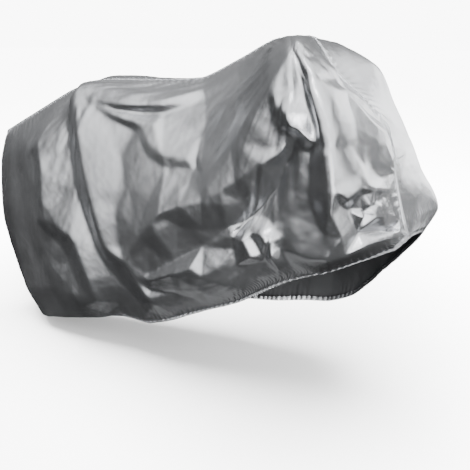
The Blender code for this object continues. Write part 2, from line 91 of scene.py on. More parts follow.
# The seam over the top, from the tail to the front, as points (x, y, z): one for each section.
SEAM_TOP = (
    (-0.660, 0.030, 0.685), (-0.600, 0.025, 0.712), (-0.505, 0.020, 0.755), (-0.330, 0.010, 0.833),
    (-0.225, 0.000, 0.865), (-0.160, 0.000, 0.873), (-0.030, 0.000, 0.877), (0.140, 0.000, 0.886),
    (0.246, 0.000, 0.934), (0.340, 0.000, 0.980), (0.432, 0.000, 0.985), (0.500, -0.010, 0.903),
    (0.569, -0.020, 0.853), (0.605, -0.030, 0.822), (0.634, -0.040, 0.794),
)

# The two seams that both panels share below the top.
#              shoulder                belly                  roll                   hem
TAIL_SEAM = ((-0.725, 0.030, 0.570), (-0.778, 0.030, 0.330), (-0.745, 0.030, 0.120), (-0.700, 0.020, 0.012))
FRONT_SEAM = ((0.650, -0.050, 0.745), (0.664, -0.060, 0.680), (0.694, -0.070, 0.583), (0.712, -0.060, 0.536))

# Sections of the right panel, between the tail seam and the front seam.
#    shoulder                belly                   roll                    hem
RIGHT_SECTIONS = (
    ((-0.620, -0.008, 0.615), (-0.640, -0.040, 0.380), (-0.610, -0.070, 0.110), (-0.545, -0.072, 0.004)),
    ((-0.445, -0.060, 0.665), (-0.440, -0.095, 0.480), (-0.455, -0.110, 0.170), (-0.440, -0.095, 0.035)),
    ((-0.285, -0.080, 0.740), (-0.240, -0.135, 0.480), (-0.240, -0.145, 0.200), (-0.220, -0.115, 0.105)),
    ((-0.222, -0.080, 0.842), (-0.150, -0.150, 0.560), (-0.130, -0.160, 0.270), (-0.110, -0.125, 0.145)),
    ((-0.120, -0.080, 0.848), (-0.020, -0.175, 0.600), (-0.010, -0.175, 0.270), (-0.005, -0.135, 0.150)),
    ((0.035, -0.100, 0.826), (0.100, -0.200, 0.610), (0.100, -0.195, 0.320), (0.100, -0.150, 0.200)),
    ((0.205, -0.120, 0.830), (0.248, -0.225, 0.620), (0.235, -0.205, 0.370), (0.223, -0.160, 0.273)),
    ((0.313, -0.160, 0.862), (0.352, -0.250, 0.640), (0.340, -0.220, 0.440), (0.332, -0.170, 0.335)),
    ((0.455, -0.250, 0.968), (0.455, -0.262, 0.760), (0.445, -0.240, 0.530), (0.458, -0.170, 0.421)),
    ((0.478, -0.255, 0.966), (0.552, -0.268, 0.750), (0.552, -0.235, 0.535), (0.551, -0.160, 0.461)),
    ((0.519, -0.160, 0.893), (0.607, -0.215, 0.710), (0.622, -0.205, 0.560), (0.629, -0.145, 0.500)),
    ((0.584, -0.110, 0.845), (0.636, -0.140, 0.690), (0.662, -0.145, 0.577), (0.681, -0.105, 0.519)),
    ((0.620, -0.080, 0.790), (0.651, -0.095, 0.688), (0.680, -0.105, 0.580), (0.700, -0.080, 0.527)),
)

# Sections of the left panel, which hangs lower towards the front.
#    shoulder                belly                   roll                    hem
LEFT_SECTIONS = (
    ((-0.620, 0.060, 0.610), (-0.640, 0.085, 0.380), (-0.620, 0.095, 0.120), (-0.570, 0.080, 0.030)),
    ((-0.460, 0.080, 0.675), (-0.450, 0.105, 0.480), (-0.455, 0.120, 0.170), (-0.440, 0.105, 0.045)),
    ((-0.280, 0.085, 0.765), (-0.250, 0.130, 0.480), (-0.270, 0.145, 0.200), (-0.270, 0.120, 0.060)),
    ((-0.215, 0.085, 0.855), (-0.190, 0.150, 0.500), (-0.190, 0.160, 0.200), (-0.190, 0.130, 0.070)),
    ((-0.115, 0.080, 0.862), (-0.070, 0.170, 0.500), (-0.080, 0.175, 0.200), (-0.080, 0.140, 0.080)),
    ((0.020, 0.090, 0.860), (0.060, 0.190, 0.500), (0.050, 0.190, 0.220), (0.050, 0.150, 0.100)),
    ((0.175, 0.110, 0.855), (0.210, 0.215, 0.500), (0.200, 0.205, 0.250), (0.200, 0.150, 0.130)),
    ((0.290, 0.150, 0.890), (0.310, 0.240, 0.520), (0.310, 0.220, 0.270), (0.320, 0.150, 0.150)),
    ((0.430, 0.240, 0.950), (0.410, 0.260, 0.560), (0.410, 0.240, 0.300), (0.420, 0.170, 0.165)),
    ((0.450, 0.245, 0.950), (0.500, 0.260, 0.560), (0.500, 0.235, 0.320), (0.500, 0.170, 0.180)),
    ((0.572, 0.150, 0.912), (0.590, 0.215, 0.600), (0.590, 0.190, 0.370), (0.580, 0.150, 0.235)),
    ((0.623, 0.130, 0.827), (0.665, 0.150, 0.610), (0.680, 0.140, 0.460), (0.665, 0.105, 0.365)),
    ((0.671, 0.130, 0.746), (0.722, 0.110, 0.660), (0.774, 0.060, 0.582), (0.745, 0.030, 0.520)),
)

# Fold lines of the right panel, picked in the main view. Each is a crest or a valley that runs
# through its points (column, row, height): two pixel coordinates, and how many millimetres the
# cloth stands out of the form of the sections there. Between the lines the cloth lies in flat
# facets, as stiff coated cloth does.
RIGHT_FOLDS = (
    ("tail corner", (
        (64, 99, 3), (50, 120, 9), (37, 144, 16), (41, 170, 17), (42, 200, 17), (45, 219, 16),
        (60, 228, 16), (71, 236, 16), (80, 258, 15), (88, 278, 13), (98, 300, 9),
    )),
    ("tail undercut", (
        (35, 158, 2), (36, 190, 2), (38, 222, 0), (52, 236, -4), (63, 244, -5), (71, 262, -6),
        (80, 284, -5),
    )),
    ("tail tip", ((30, 150, 5), (23, 161, 2))),
    ("tail hollow", ((18, 165, -2), (24, 205, -4), (30, 240, -8), (42, 262, -11), (54, 290, -9))),
    ("tail streak", ((52, 266, -1), (68, 285, 1), (84, 303, 1))),
    ("strip foot", (
        (67, 101, -1), (70, 130, -9), (73, 160, -11), (80, 195, -11), (90, 225, -11), (100, 250, -9),
        (112, 278, -6), (122, 303, -3),
    )),
    ("strip edge", (
        (74, 101, 8), (78, 130, 18), (81, 160, 20), (88, 190, 21), (97, 222, 19), (104, 245, 15),
        (113, 253, 11), (125, 261, 8), (134, 279, 6), (148, 297, 4),
    )),
    ("pocket", ((109, 264, -8), (120, 278, -12), (136, 297, -10))),
    ("facet fall", (
        (112, 128, -6), (122, 160, -9), (127, 188, -9), (118, 206, -3), (118, 232, -1), (121, 249, 0),
    )),
    ("middle crest", ((138, 237, 8), (152, 222, 11), (159, 214, 13), (180, 206, 12), (203, 196, 10))),
    ("top edge", (
        (84, 96, 5), (95, 99, 9), (110, 102, 13), (135, 104, 15), (162, 103, 15), (180, 97, 12),
        (205, 85, 8), (228, 73, 4),
    )),
    ("under edge", (
        (100, 105, 2), (118, 110, -5), (140, 113, -9), (165, 113, -9), (200, 102, -8), (222, 90, -5),
    )),
    ("wedge foot", ((92, 104, 3), (112, 118, -5), (136, 131, -11))),
    ("wedge ridge", ((102, 107, 6), (116, 114, 7), (132, 119, 8), (155, 124, 5))),
    ("cup rim", ((143, 128, 3), (150, 143, 7), (163, 153, 9), (188, 158, 8), (198, 157, 3))),
    ("under cup", ((141, 136, -3), (149, 156, -5), (166, 168, -6), (194, 169, -4))),
    ("star foot", ((165, 217, 4), (180, 224, -6), (205, 229, -6), (228, 226, -14))),
    ("long fold foot", ((150, 275, -3), (175, 261, -6), (203, 246, -8), (233, 230, -12))),
    ("long fold", (
        (139, 277, 5), (150, 279, 10), (170, 274, 16), (190, 268, 20), (203, 276, 15), (204, 290, 8),
    )),
    ("below fold", ((152, 289, -8), (175, 292, -10), (193, 296, -7))),
    ("hem swell", ((218, 268, 9), (226, 286, 7))),
    ("band foot", ((262, 60, -2), (240, 80, -5), (215, 108, -6), (202, 135, -6), (198, 165, -4))),
    ("band crest", (
        (291, 53, 8), (284, 66, 13), (271, 88, 20), (250, 118, 25), (238, 140, 26), (224, 165, 22),
        (208, 188, 15),
    )),
    ("patch valley", ((271, 103, 13), (275, 125, 6), (276, 148, 2))),
    ("patch crest", ((276, 100, 15), (285, 111, 17), (291, 125, 20))),
    ("patch foot", ((277, 156, 4), (262, 164, 11), (242, 178, 15), (222, 190, 15), (208, 197, 12))),
    ("deep valley", (
        (294, 134, 2), (289, 160, -24), (277, 188, -32), (263, 206, -34), (251, 218, -32), (238, 230, -22),
    )),
    ("valley far side", (
        (303, 148, -7), (302, 168, -10), (291, 190, -16), (281, 208, -22), (268, 221, -26),
    )),
    ("facet foot", ((303, 200, -12), (295, 214, -14), (284, 222, -18))),
    ("bulge edge", (
        (274, 228, -18), (283, 235, -12), (295, 250, 0), (306, 261, 6), (330, 257, 8), (347, 254, 7),
    )),
    ("tip crest", (
        (298, 49, 6), (309, 67, 12), (318, 92, 17), (330, 119, 21), (331, 150, 22), (332, 190, 22),
        (333, 217, 18), (342, 238, 12),
    )),
    ("tip valley", ((301, 64, 1), (304, 86, -7), (311, 112, -12), (317, 132, -12))),
    ("bright foot", ((292, 128, 19), (300, 132, 15), (308, 138, 8), (317, 139, 2))),
    ("slot", (
        (319, 141, 0), (313, 150, -8), (311, 168, -9), (311, 192, -10), (314, 210, -9), (322, 230, -4),
    )),
    ("front band head", ((312, 62, 8), (328, 72, 14))),
    ("front band foot", ((317, 74, 16), (338, 90, 26), (360, 104, 28), (386, 130, 18))),
    ("front facet fold", ((345, 124, 24), (366, 134, 22), (388, 146, 14))),
    ("front hollow", ((338, 143, 17), (352, 147, 13), (364, 163, 6), (380, 176, 2))),
    ("front edge", ((392, 140, 8), (395, 170, 6))),
    ("front lower crest", ((338, 192, 22), (348, 200, 20), (362, 186, 18), (378, 188, 14), (390, 190, 10))),
    ("front crease", ((362, 193, 3), (361, 210, -12), (358, 232, -14))),
    ("crumple 1", ((341, 203, 6), (349, 209, -4), (354, 222, -6))),
    ("crumple 2", ((373, 194, 9), (370, 206, 9), (367, 216, 7))),
    ("crumple 3", ((388, 196, 6), (380, 205, 8), (374, 212, 8))),
    ("crumple 4", ((378, 196, 1), (374, 203, 0))),
    ("diamond top", ((376, 217, 9), (386, 214, 9), (400, 219, 7))),
    ("diamond foot", ((381, 231, -10), (392, 228, -8))),
    ("hem roll", ((368, 243, 8), (380, 239, 11), (402, 227, 9))),
    ("hem crease 1", ((233, 235, -10), (235, 248, -11), (238, 264, -4))),
    ("hem rise 1", ((242, 240, 5), (251, 257, 9))),
    ("hem crease 2", ((250, 232, -6), (256, 241, -9), (264, 254, -7))),
    ("hem rise 2", ((262, 234, 4), (266, 243, 6))),
    ("hem crease 3", ((270, 240, -3), (265, 260, -11), (257, 278, -4))),
    ("hem rise 3", ((272, 258, 7), (279, 273, 4))),
    ("under bulge", ((281, 250, -10), (290, 263, -6))),
    ("flat 1", ((140, 180, -8), (150, 200, -4))),
    ("flat 2", ((180, 180, -4), (190, 186, -2))),
    ("flat 3", ((150, 245, -4), (160, 256, -5))),
)

# Fold lines of the left panel, in the side view: the points are (x, z, height) in metres.
LEFT_FOLDS = (
    ("tail corner", (
        (-0.38, 0.78, 0.004), (-0.43, 0.68, 0.012), (-0.44, 0.55, 0.014), (-0.42, 0.4, 0.013),
        (-0.36, 0.22, 0.008),
    )),
    ("tail hollow", ((-0.56, 0.58, -0.002), (-0.54, 0.4, -0.006), (-0.47, 0.2, -0.009))),
    ("strip foot", (
        (-0.31, 0.79, 0.0), (-0.29, 0.66, -0.009), (-0.27, 0.5, -0.01), (-0.22, 0.34, -0.008),
        (-0.18, 0.2, -0.003),
    )),
    ("strip edge", (
        (-0.235, 0.81, 0.006), (-0.215, 0.68, 0.014), (-0.185, 0.54, 0.016), (-0.15, 0.4, 0.013),
        (-0.1, 0.26, 0.007),
    )),
    ("facet fall", ((-0.09, 0.74, -0.005), (-0.05, 0.6, -0.009), (-0.06, 0.44, -0.006))),
    ("top edge", (
        (-0.19, 0.827, 0.005), (-0.09, 0.815, 0.012), (0.02, 0.815, 0.014), (0.13, 0.835, 0.01),
        (0.2, 0.862, 0.004),
    )),
    ("under edge", (
        (-0.13, 0.79, -0.003), (-0.01, 0.775, -0.008), (0.09, 0.785, -0.008), (0.19, 0.815, -0.004),
    )),
    ("upper swag", ((0.0, 0.7, 0.008), (0.09, 0.66, 0.013), (0.19, 0.68, 0.009))),
    ("under swag", ((0.0, 0.66, -0.004), (0.09, 0.62, -0.01), (0.19, 0.64, -0.006))),
    ("middle crest", ((0.01, 0.5, 0.008), (0.11, 0.53, 0.013), (0.21, 0.58, 0.013))),
    ("middle foot", ((0.06, 0.44, -0.006), (0.16, 0.46, -0.011), (0.27, 0.52, -0.013))),
    ("long fold", ((-0.02, 0.3, 0.006), (0.09, 0.34, 0.015), (0.2, 0.38, 0.019), (0.24, 0.3, 0.01))),
    ("band foot", ((0.31, 0.89, -0.002), (0.25, 0.82, -0.008), (0.22, 0.74, -0.01), (0.21, 0.66, -0.007))),
    ("band crest", ((0.415, 0.92, 0.008), (0.375, 0.84, 0.018), (0.33, 0.74, 0.02), (0.28, 0.64, 0.014))),
    ("deep valley", ((0.44, 0.8, 0.0), (0.41, 0.7, -0.024), (0.375, 0.6, -0.03), (0.33, 0.5, -0.016))),
    ("tip crest", (
        (0.435, 0.925, 0.006), (0.465, 0.83, 0.02), (0.485, 0.7, 0.024), (0.49, 0.55, 0.018),
        (0.5, 0.42, 0.01),
    )),
    ("slot", ((0.52, 0.78, -0.004), (0.535, 0.66, -0.022), (0.55, 0.52, -0.02), (0.56, 0.4, -0.008))),
    ("front edge", ((0.56, 0.84, 0.006), (0.6, 0.72, 0.01), (0.62, 0.58, 0.01), (0.62, 0.46, 0.006))),
    ("front hollow", ((0.64, 0.76, -0.003), (0.665, 0.66, -0.006), (0.675, 0.56, -0.004))),
    ("hem rise", ((-0.33, 0.3, 0.006), (-0.32, 0.16, 0.006))),
    ("hem swell", ((0.36, 0.32, 0.008), (0.37, 0.24, 0.006))),
    ("hem crease", ((0.29, 0.35, -0.007), (0.29, 0.25, -0.005))),
    ("front crease", ((0.44, 0.38, -0.007), (0.43, 0.26, -0.004))),
)

# Where elastic draws the hem in, from 0 at the tail to 1 at the front.
#    place  share
RIGHT_GATHERS = ((0.0, 0.2), (0.30, 0.3), (0.40, 1.0), (0.68, 1.0), (0.74, 0.4), (0.84, 0.9), (1.0, 0.9))
LEFT_GATHERS = ((0.0, 0.3), (0.35, 0.5), (0.50, 1.0), (1.0, 1.0))

# The points that carry the cloth: ripples fan out from them.
#                    x      z      height  reach
RIGHT_ANCHORS = ((-0.220, 0.845, 0.0020, 0.20), (0.462, 0.970, 0.0034, 0.22))
LEFT_ANCHORS = ((-0.215, 0.850, 0.0022, 0.20), (0.440, 0.960, 0.0040, 0.22))

# Where the cloth is stretched smooth: small creases fade out there.
#               x       z      reach
SMOOTH_SPOTS = ((0.585, 0.800, 0.085), (-0.120, 0.640, 0.090), (0.620, 0.600, 0.030))

# How densely the grid lines lie along and down a panel.
#    place  density
DENSE_ALONG = ((0.0, 1.3), (0.04, 0.8), (0.45, 0.8), (0.60, 1.4), (0.97, 1.5), (1.0, 1.8))
DENSE_DOWN = ((0.0, 2.2), (0.06, 1.1), (0.30, 1.0), (0.80, 1.0), (0.92, 1.5), (1.0, 2.2))


def smooth_step(t):
    """0 below 0, 1 above 1, and 3t^2 - 2t^3 between."""
    t = np.clip(t, 0.0, 1.0)
    return t * t * (3.0 - 2.0 * t)


def uneven(count, density):
    """Numbers from 0 to 1 that lie closer where density is higher: its running sum, inverted."""
    place, weight = np.array(density).T
    fine = np.linspace(0.0, 1.0, 2001)
    total = np.cumsum(np.interp(fine, place, weight))
    total = (total - total[0]) / (total[-1] - total[0])
    return np.interp(np.linspace(0.0, 1.0, count), total, fine)


def section_net(sections):
    """Control points as an array: sections x levels x 3, both shared seams included."""
    rows = [TAIL_SEAM, *sections, FRONT_SEAM]
    return np.array([[top, *row] for top, row in zip(SEAM_TOP, rows)])


def section_stations(*nets):
    """Where each section lies along the panels, 0 at the tail and 1 at the front."""
    upper = sum(net[:, :3].mean(axis=1) for net in nets) / len(nets)
    least_step = 0.05
    steps = np.maximum(np.linalg.norm(np.diff(upper, axis=0), axis=1), least_step)
    reach = np.concatenate(([0.0], np.cumsum(steps)))
    return reach / reach[-1]


def blend_weights(knots, t, roundness):
    """Weights of the knots at each t: part straight line, part cubic through the knots."""
    knots = np.asarray(knots)
    count = len(knots)
    unit = np.eye(count)
    cell = np.clip(np.searchsorted(knots, t, side="right") - 1, 0, count - 2)
    width = (knots[cell + 1] - knots[cell])[:, None]
    w = (t - knots[cell])[:, None] / width
    straight = (1.0 - w) * unit[cell] + w * unit[cell + 1]
    before = np.maximum(np.arange(count) - 1, 0)
    after = np.minimum(np.arange(count) + 1, count - 1)
    slope = (unit[after] - unit[before]) / (knots[after] - knots[before])[:, None]
    cubic = (
        (2 * w**3 - 3 * w**2 + 1) * unit[cell]
        + (w**3 - 2 * w**2 + w) * width * slope[cell]
        + (3 * w**2 - 2 * w**3) * unit[cell + 1]
        + (w**3 - w**2) * width * slope[cell + 1]
    )
    return (1.0 - roundness) * straight + roundness * cubic


def section_form(sections, u, v):
    """The smooth form of a panel at each u and v: its sections blended along and down."""
    stations = section_stations(section_net(RIGHT_SECTIONS), section_net(LEFT_SECTIONS))
    across = blend_weights(stations, u, ROUND_ALONG)
    down = blend_weights(LEVELS, v, ROUND_DOWN)
    return np.einsum("ui,vj,ijk->uvk", across, down, section_net(sections))


def outward(points, hand):
    """Unit normals of a grid: cross product of its two directions, turned outward by hand."""
    along = np.gradient(points, axis=0)
    down = np.gradient(points, axis=1)
    normal = np.cross(along, down) * hand
    return normal / np.maximum(np.linalg.norm(normal, axis=-1, keepdims=True), 1e-9)


def seen_at(points):
    """Column and row of points in the main view: how far right and down they lie over their depth."""
    right, up, back = np.moveaxis((points - np.array(CAMERA_PLACE)) @ np.array(CAMERA_TURN), -1, 0)
    focus = PICTURE * LENS / SENSOR
    return PICTURE / 2.0 - focus * right / back, PICTURE / 2.0 + focus * up / back


def placed_folds(picks):
    """Right panel folds as (x, z, height): the spot of its form that shows at the pick once raised."""
    along_count, down_count, search, millimetre = 640, 400, 40.0, 0.001
    u, v = np.linspace(0.0, 1.0, along_count), np.linspace(0.0, 1.0, down_count)
    points = section_form(RIGHT_SECTIONS, u, v)
    normals = outward(points, -1.0)
    facing = np.sum((np.array(CAMERA_PLACE) - points) * normals, axis=-1) > 0.0
    points, normals = points[facing], normals[facing]
    columns, rows = seen_at(points)

    def place(column, row, height):
        near = np.flatnonzero(np.hypot(columns - column, rows - row) < search)
        raised = seen_at(points[near] + height * millimetre * normals[near])
        x, _, z = points[near[np.argmin(np.hypot(raised[0] - column, raised[1] - row))]].round(3)
        return x, z, height * millimetre

    return [(name, [place(*pick) for pick in line]) for name, line in picks]


def facet_height(x, z, folds, outline):
    """Height of a crumpled sheet: triangles between the fold lines, with the outline at zero."""
    spots = [(px, pz) for px, pz in outline]
    heights = [0.0] * len(spots)
    lines = [(i, (i + 1) % len(spots)) for i in range(len(spots))]
    for _, points in folds:
        first = len(spots)
        spots += [(px, pz) for px, pz, _ in points]
        heights += [height for _, _, height in points]
        lines += [(i, i + 1) for i in range(first, len(spots) - 1)]
    flat = [Vector(spot) for spot in spots]
    verts, _, faces, sources, _, _ = geometry.delaunay_2d_cdt(flat, lines, [], 0, 1e-5)
    corner = np.array([tuple(vert) for vert in verts])
    known = np.array(spots)
    level = np.zeros(len(verts))
    for number, source in enumerate(sources):
        if source:
            level[number] = heights[source[0]]
        else:
            away = np.hypot(*(known - corner[number]).T)
            near = np.argsort(away)[:2]
            level[number] = np.average(np.array(heights)[near], weights=1.0 / (away[near] + 1e-6))
    total = np.zeros_like(x)
    for a, b, c in (face for face in faces if len(face) == 3):
        pa, pb, pc = corner[a], corner[b], corner[c]
        span = (pb[0] - pa[0]) * (pc[1] - pa[1]) - (pc[0] - pa[0]) * (pb[1] - pa[1])
        if abs(span) < 1e-12:
            continue
        low, high = np.min((pa, pb, pc), axis=0), np.max((pa, pb, pc), axis=0)
        box = (x >= low[0]) & (x <= high[0]) & (z >= low[1]) & (z <= high[1])
        px, pz = x[box] - pa[0], z[box] - pa[1]
        wb = (px * (pc[1] - pa[1]) - pz * (pc[0] - pa[0])) / span
        wc = (pz * (pb[0] - pa[0]) - px * (pb[1] - pa[1])) / span
        inside = (wb >= -1e-9) & (wc >= -1e-9) & (wb + wc <= 1.0 + 1e-9)
        value = level[a] + wb * (level[b] - level[a]) + wc * (level[c] - level[a])
        here = total[box]
        here[inside] = value[inside]
        total[box] = here
    return total


def soften(height, times):
    """Rounds creases: each value becomes a quarter, a half and a quarter of its neighbours."""
    for _ in range(times):
        padded = np.pad(height, 1, mode="edge")
        height = 0.25 * padded[:-2, 1:-1] + 0.5 * padded[1:-1, 1:-1] + 0.25 * padded[2:, 1:-1]
        padded = np.pad(height, 1, mode="edge")
        height = 0.25 * padded[1:-1, :-2] + 0.5 * padded[1:-1, 1:-1] + 0.25 * padded[1:-1, 2:]
    return height


def panel_outline(points, v):
    """Points round a panel in the side view, just inside its seams and hem."""
    first, last, along_count, side_count = 0.05, 0.985, 26, 9
    top, low = np.searchsorted(v, (first, last))
    steps = np.linspace(2, points.shape[0] - 3, along_count).astype(int)
    sides = np.linspace(top, low, side_count).astype(int)[1:-1]
    ring = np.concatenate(
        (points[steps, top], points[-3, sides], points[steps[::-1], low], points[2, sides[::-1]])
    )
    return ring[:, (0, 2)].tolist()


def lattice(across, up, seed):
    """Seeded random numbers at the four corners of each place's cell, and how far in it lies."""
    numbers = np.random.default_rng(seed).uniform(-1.0, 1.0, (256, 256))
    ix, iy = np.floor(across).astype(int), np.floor(up).astype(int)
    fx, fy = across - ix, up - iy
    ix, iy, jx, jy = ix % 256, iy % 256, (ix + 1) % 256, (iy + 1) % 256
    return numbers[ix, iy], numbers[jx, iy], numbers[ix, jy], numbers[jx, jy], fx, fy


def lattice_noise(x, y, cell, seed):
    """Random numbers on a square lattice, smoothed between its points, from -1 to 1."""
    a, b, c, d, fx, fy = lattice(x / cell, y / cell, seed)
    fx, fy = smooth_step(fx), smooth_step(fy)
    return (a * (1.0 - fx) + b * fx) * (1.0 - fy) + (c * (1.0 - fx) + d * fx) * fy


def crumple(x, y, cell, seed):
    """Random heights on a slanted lattice with flat triangles between them, from -1 to 1."""
    a, b, c, d, fx, fy = lattice((x + 0.45 * y) / cell, (y - 0.30 * x) / cell, seed)
    near = a * (1.0 - fx - fy) + b * fx + c * fy
    far = d * (fx + fy - 1.0) + b * (1.0 - fy) + c * (1.0 - fx)
    return np.where(fx + fy < 1.0, near, far)


def zigzag(turns):
    """A wave of straight slopes from -1 to 1 and back, once in each turn."""
    return 4.0 * np.abs(turns - np.floor(turns + 0.5)) - 1.0


def run_lengths(points):
    """Distances over the grid: along from the tail, down from the seam, and what is left of both."""
    along = np.linalg.norm(np.diff(points, axis=0), axis=-1)
    down = np.linalg.norm(np.diff(points, axis=1), axis=-1)
    from_tail = np.vstack((np.zeros((1, points.shape[1])), np.cumsum(along, axis=0)))
    from_top = np.hstack((np.zeros((points.shape[0], 1)), np.cumsum(down, axis=1)))
    return from_tail, from_top, from_tail[-1:] - from_tail, from_top[:, -1:] - from_top


def seam_puckers(points, sizes, seed):
    """Ripples square to the seam, exp(-distance / reach) high, with an uneven pitch."""
    drift_cell, strength_cell, rise = 0.055, 0.09, 0.006
    top_share, tail_share, front_share = 1.0, 0.6, 0.35
    from_tail, from_top, to_front, _ = run_lengths(points)
    total = np.zeros(points.shape[:2])
    for place, away, share in (
        (np.broadcast_to(from_tail[:, :1], total.shape), from_top, top_share),
        (np.broadcast_to(from_top[:1, :], total.shape), from_tail, tail_share),
        (np.broadcast_to(from_top[-1:, :], total.shape), to_front, front_share),
    ):
        seed += 1
        drift = 0.704 * lattice_noise(place, away, drift_cell, seed)
        strength = 0.55 + 0.45 * lattice_noise(place, 0.0 * place, strength_cell, seed + 40)
        wave = zigzag(place / sizes.pucker_pitch + drift)
        fade = np.exp(-away / sizes.pucker_reach) * smooth_step(away / rise)
        total += share * sizes.pucker_height * wave * strength * fade
    return total


def hem_gathers(points, sizes, seed, shares):
    """Small folds square to the hem where elastic draws it in: waves that die out upward."""
    held_height, drift_cell, fine_cell, strength_cell, reach_cell = 0.014, 0.05, 0.03, 0.045, 0.04
    from_tail, _, _, to_hem = run_lengths(points)
    place = np.broadcast_to(from_tail[:, -1:], to_hem.shape)
    level = 0.0 * place
    drift = 0.48 * lattice_noise(place, level, drift_cell, seed)
    drift += 0.16 * lattice_noise(place, to_hem, fine_cell, seed + 1)
    strength = np.interp(place / place.max(), *np.array(shares).T)
    strength = strength * (0.65 + 0.35 * lattice_noise(place, level, strength_cell, seed + 7))
    reach = sizes.gather_reach * (1.0 + 0.6 * lattice_noise(place, level, reach_cell, seed + 9))
    wave = zigzag(place / sizes.gather_pitch + drift)
    held = 0.25 + 0.75 * smooth_step(to_hem / held_height)
    return sizes.gather_height * strength * wave * held * np.exp(-to_hem / reach)


def pulled_lines(points, anchors, seed):
    """Fine ripples that fan out from the points which carry the cloth: noise over the angle."""
    wide_cell, narrow_cell, bare, past, fade = 0.13, 0.06, 0.10, 0.06, 0.05
    x, z = points[..., 0], points[..., 2]
    total = np.zeros_like(x)
    for number, (px, pz, height, reach) in enumerate(anchors):
        away = np.hypot(x - px, z - pz)
        angle = np.arctan2(z - pz, x - px) + math.pi
        ripple = 0.7 - 2.0 * np.abs(lattice_noise(angle, away, wide_cell, seed + number))
        ripple += 0.5 - 1.4 * np.abs(lattice_noise(angle, away * 0.4, narrow_cell, seed + 50 + number))
        behind = smooth_step((px + past - x) / fade)
        total += height * ripple * smooth_step(away / bare) * np.exp(-away / reach) * behind
    return total


def crinkles(points, sizes, seed):
    """Small flat facets with sharp creases all over, in three sizes: crumple noise, warped."""
    large_cell, middle_cell, small_cell = 0.085, 0.042, 0.022
    warp, warp_cell, patch_cell = 0.028, 0.09, 0.16
    from_tail, from_top, _, _ = run_lengths(points)
    x = from_tail + warp * lattice_noise(from_tail, from_top, warp_cell, seed)
    y = from_top + warp * lattice_noise(from_tail, from_top, warp_cell, seed + 1)
    large = crumple(x, 0.7 * y, large_cell, seed + 2)
    middle = crumple(0.8 * y, x, middle_cell, seed + 3)
    small = crumple(x, y, small_cell, seed + 5)
    patch = 0.25 + 0.75 * smooth_step(0.5 + 0.9 * lattice_noise(from_tail, from_top, patch_cell, seed + 4))
    taut = np.zeros_like(x)
    for px, pz, reach in SMOOTH_SPOTS:
        away = np.hypot(points[..., 0] - px, points[..., 2] - pz) / reach
        taut = np.maximum(taut, 0.8 * np.exp(-(away**4)))
    return sizes.crinkle_height * (1.0 - taut) * (large + patch * (0.45 * middle + 0.16 * small))


def hem_roll(points, hand, radius, turn_up):
    """Rows below the hem: half a circle under the edge, then a flat turn-up inside the cloth."""
    edge = points[:, -1]
    down = edge - points[:, -3]
    down /= np.linalg.norm(down, axis=1, keepdims=True)
    out = outward(points, hand)[:, -1]
    out -= down * np.sum(out * down, axis=1, keepdims=True)
    out /= np.linalg.norm(out, axis=1, keepdims=True)
    bend = np.linspace(0.0, math.pi, 6)[1:]
    rows = [edge + radius * (math.sin(a) * down - (1.0 - math.cos(a)) * out) for a in bend]
    rows += [edge - 2.0 * radius * out - t * down for t in np.linspace(0.0, turn_up, 4)[1:]]
    return np.concatenate((points, np.stack(rows, axis=1)), axis=1)


def panel_surface(side, sizes):
    """The outer face of one panel as a grid of points, with all its creases."""
    right = side == "right"
    hand, seed = (-1.0, 11) if right else (1.0, 71)
    u = uneven(sizes.columns + 1, DENSE_ALONG)
    v = uneven(sizes.rows + 1, DENSE_DOWN)
    points = section_form(RIGHT_SECTIONS if right else LEFT_SECTIONS, u, v)
    from_end = np.minimum(u, 1.0 - u)[:, None]

    folds = placed_folds(RIGHT_FOLDS) if right else LEFT_FOLDS
    height = facet_height(points[..., 0], points[..., 2], folds, panel_outline(points, v))
    height = soften(height, sizes.fold_softening)
    first, last = CALM_TOP
    top = smooth_step((v - first) / (last - first))
    height *= smooth_step(from_end / CALM_ENDS) * (top * smooth_step((1.0 - v) / CALM_HEM))
    points = points + outward(points, hand) * height[..., None]

    edge = smooth_step(from_end / FINE_ENDS) * smooth_step(v / FINE_TOP)
    fine = crinkles(points, sizes, seed) * edge + seam_puckers(points, sizes, seed + 20)
    gathers = hem_gathers(points, sizes, seed + 30, RIGHT_GATHERS if right else LEFT_GATHERS)
    fine += gathers * smooth_step(from_end / GATHER_ENDS)
    fine += pulled_lines(points, RIGHT_ANCHORS if right else LEFT_ANCHORS, seed + 60) * edge
    points = points + outward(points, hand) * fine[..., None]

    from_seam = np.minimum(from_end / SPRING_ENDS, v / SPRING_TOP)
    points[..., 1] += hand * (sizes.seam_gap / 2.0 + sizes.seam_spring * smooth_step(from_seam))
    return points, hand


def mesh_object(name, points, faces):
    """A smooth-shaded mesh of four-sided faces, linked to the scene."""
    mesh = bpy.data.meshes.new(name)
    mesh.vertices.add(len(points))
    mesh.vertices.foreach_set("co", points.reshape(-1).astype(np.float32))
    mesh.loops.add(faces.size)
    mesh.loops.foreach_set("vertex_index", faces.reshape(-1).astype(np.int32))
    mesh.polygons.add(len(faces))
    mesh.polygons.foreach_set("loop_start", np.arange(0, faces.size, 4, dtype=np.int32))
    mesh.update(calc_edges=True)
    mesh.validate()
    mesh.shade_smooth()
    obj = bpy.data.objects.new(name, mesh)
    bpy.context.scene.collection.objects.link(obj)
    return obj


